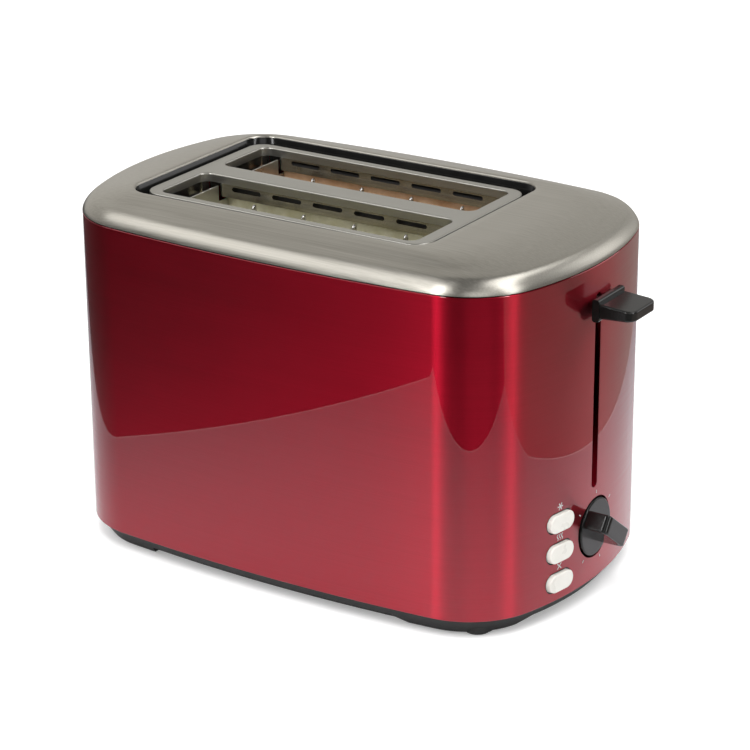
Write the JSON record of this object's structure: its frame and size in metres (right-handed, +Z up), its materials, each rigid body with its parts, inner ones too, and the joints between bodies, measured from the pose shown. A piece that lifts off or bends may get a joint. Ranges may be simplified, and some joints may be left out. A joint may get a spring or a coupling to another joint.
{
  "type": "pop-up toaster",
  "caption": "Two-slot pop-up toaster with a lacquered steel body, brushed domed top, side lever, browning dial, push buttons and a crumb tray.",
  "frame": {"origin": "on the surface the feet stand on, under the middle of the whole toaster including its lever", "axes": "+X towards the lever end, +Y across the slots away from the buttons, +Z up"},
  "size_m": [0.289, 0.165, 0.18],
  "materials": {
    "lacquered_steel": "clear gloss lacquer over brushed steel",
    "brushed_cover": "brushed lengthwise",
    "bezel_steel": "fine satin",
    "liner_steel": "bright",
    "frame_plastic": "matt black",
    "base_plastic": "fine grain",
    "foot_rubber": "matt",
    "screw_steel": "zinc plated",
    "tray_steel": "satin",
    "plated_sheet": "galvanised",
    "mica": "dull mica board",
    "ribbon": "oxidised resistance ribbon",
    "wire": "bright plated wire",
    "nylon": "smooth",
    "black_gloss": "polished",
    "rod_steel": "ground",
    "spring_steel": "drawn wire",
    "iron": "laminated",
    "coil_wrap": "taped coil",
    "circuit": "solder-masked",
    "component": "moulded",
    "contact_brass": "bare",
    "button_white": "satin gloss"
  },
  "bodies": {
    "housing": {"body_wrap": "lacquered_steel", "top_cover": "brushed_cover", "slot_bezel": "bezel_steel", "slot_liner_front": "liner_steel", "slot_liner_rear": "liner_steel", "top_frame": "frame_plastic", "cover_screws": "screw_steel", "base": "base_plastic", "rubber_feet": "foot_rubber", "base_screws": "screw_steel", "cord_gland": "foot_rubber", "end_plate_lever_side": "plated_sheet", "end_plate_rear_side": "plated_sheet", "heater_board_front": "mica", "heater_board_centre": "mica", "heater_board_rear": "mica", "heater_ribbon_front": "ribbon", "heater_ribbon_rear": "ribbon", "heater_ribbon_centre": "ribbon", "reflector_front": "plated_sheet", "reflector_rear": "plated_sheet", "guide_rods": "rod_steel", "rod_bracket": "plated_sheet", "lift_springs": "spring_steel", "magnet_core": "iron", "magnet_coil": "coil_wrap", "circuit_board": "circuit", "potentiometer": "component", "button_switches": "component", "board_parts": "component", "switch_block": "component", "switch_blades": "contact_brass", "button_carrier": "frame_plastic"},
    "carriage": {"carriage_bracket": "plated_sheet", "slide_block": "nylon", "lever_arm": "plated_sheet", "lever_knob": "black_gloss", "keeper_plate": "iron", "bread_rack_front": "plated_sheet", "bread_rack_rear": "plated_sheet"},
    "crumb_tray": {"crumb_tray": "tray_steel", "crumb_tray_handle": "base_plastic"},
    "dial": {"browning_dial": "black_gloss", "dial_shaft": "nylon"},
    "defrost_button": {"defrost_button": "button_white"},
    "reheat_button": {"reheat_button": "button_white"},
    "cancel_button": {"cancel_button": "button_white"},
    "guard_front_outer": {"guard_front_outer": "wire"},
    "guard_front_inner": {"guard_front_inner": "wire"},
    "guard_rear_inner": {"guard_rear_inner": "wire"},
    "guard_rear_outer": {"guard_rear_outer": "wire"}
  },
  "joints": [
    {"name": "lever_slide", "type": "slide", "parent": "housing", "child": "carriage", "axis": [0, 0, -1], "range_m": [0, 0.085], "stiffness_N_per_m": 60, "springref_m": -0.06, "deforming": ["lift_springs"]},
    {"name": "crumb_tray_slide", "type": "slide", "parent": "housing", "child": "crumb_tray", "axis": [-1, 0, 0], "range_m": [0, 0.15]},
    {"name": "browning_turn", "type": "hinge", "parent": "housing", "child": "dial", "pos_m": [0.1225, 0, 0.0366], "axis": [1, 0, 0], "range_deg": [-240, 30]},
    {"name": "defrost_press", "type": "slide", "parent": "housing", "child": "defrost_button", "axis": [-1, 0, 0], "range_m": [0, 0.0018], "stiffness_N_per_m": 400, "springref_m": -0.002},
    {"name": "reheat_press", "type": "slide", "parent": "housing", "child": "reheat_button", "axis": [-1, 0, 0], "range_m": [0, 0.0018], "stiffness_N_per_m": 400, "springref_m": -0.002},
    {"name": "cancel_press", "type": "slide", "parent": "housing", "child": "cancel_button", "axis": [-1, 0, 0], "range_m": [0, 0.0018], "stiffness_N_per_m": 400, "springref_m": -0.002},
    {"name": "guard_front_outer_close", "type": "slide", "parent": "housing", "child": "guard_front_outer", "axis": [0, 1, 0], "range_m": [0, 0.0045]},
    {"name": "guard_front_inner_close", "type": "slide", "parent": "housing", "child": "guard_front_inner", "axis": [0, -1, 0], "range_m": [0, 0.0045]},
    {"name": "guard_rear_inner_close", "type": "slide", "parent": "housing", "child": "guard_rear_inner", "axis": [0, 1, 0], "range_m": [0, 0.0045]},
    {"name": "guard_rear_outer_close", "type": "slide", "parent": "housing", "child": "guard_rear_outer", "axis": [0, -1, 0], "range_m": [0, 0.0045]}
  ],
  "couplings": [
    {"joint": "guard_front_outer_close", "follows": "lever_slide", "ratio": 0.05293},
    {"joint": "guard_front_inner_close", "follows": "lever_slide", "ratio": 0.05293},
    {"joint": "guard_rear_inner_close", "follows": "lever_slide", "ratio": 0.05293},
    {"joint": "guard_rear_outer_close", "follows": "lever_slide", "ratio": 0.05293}
  ]
}
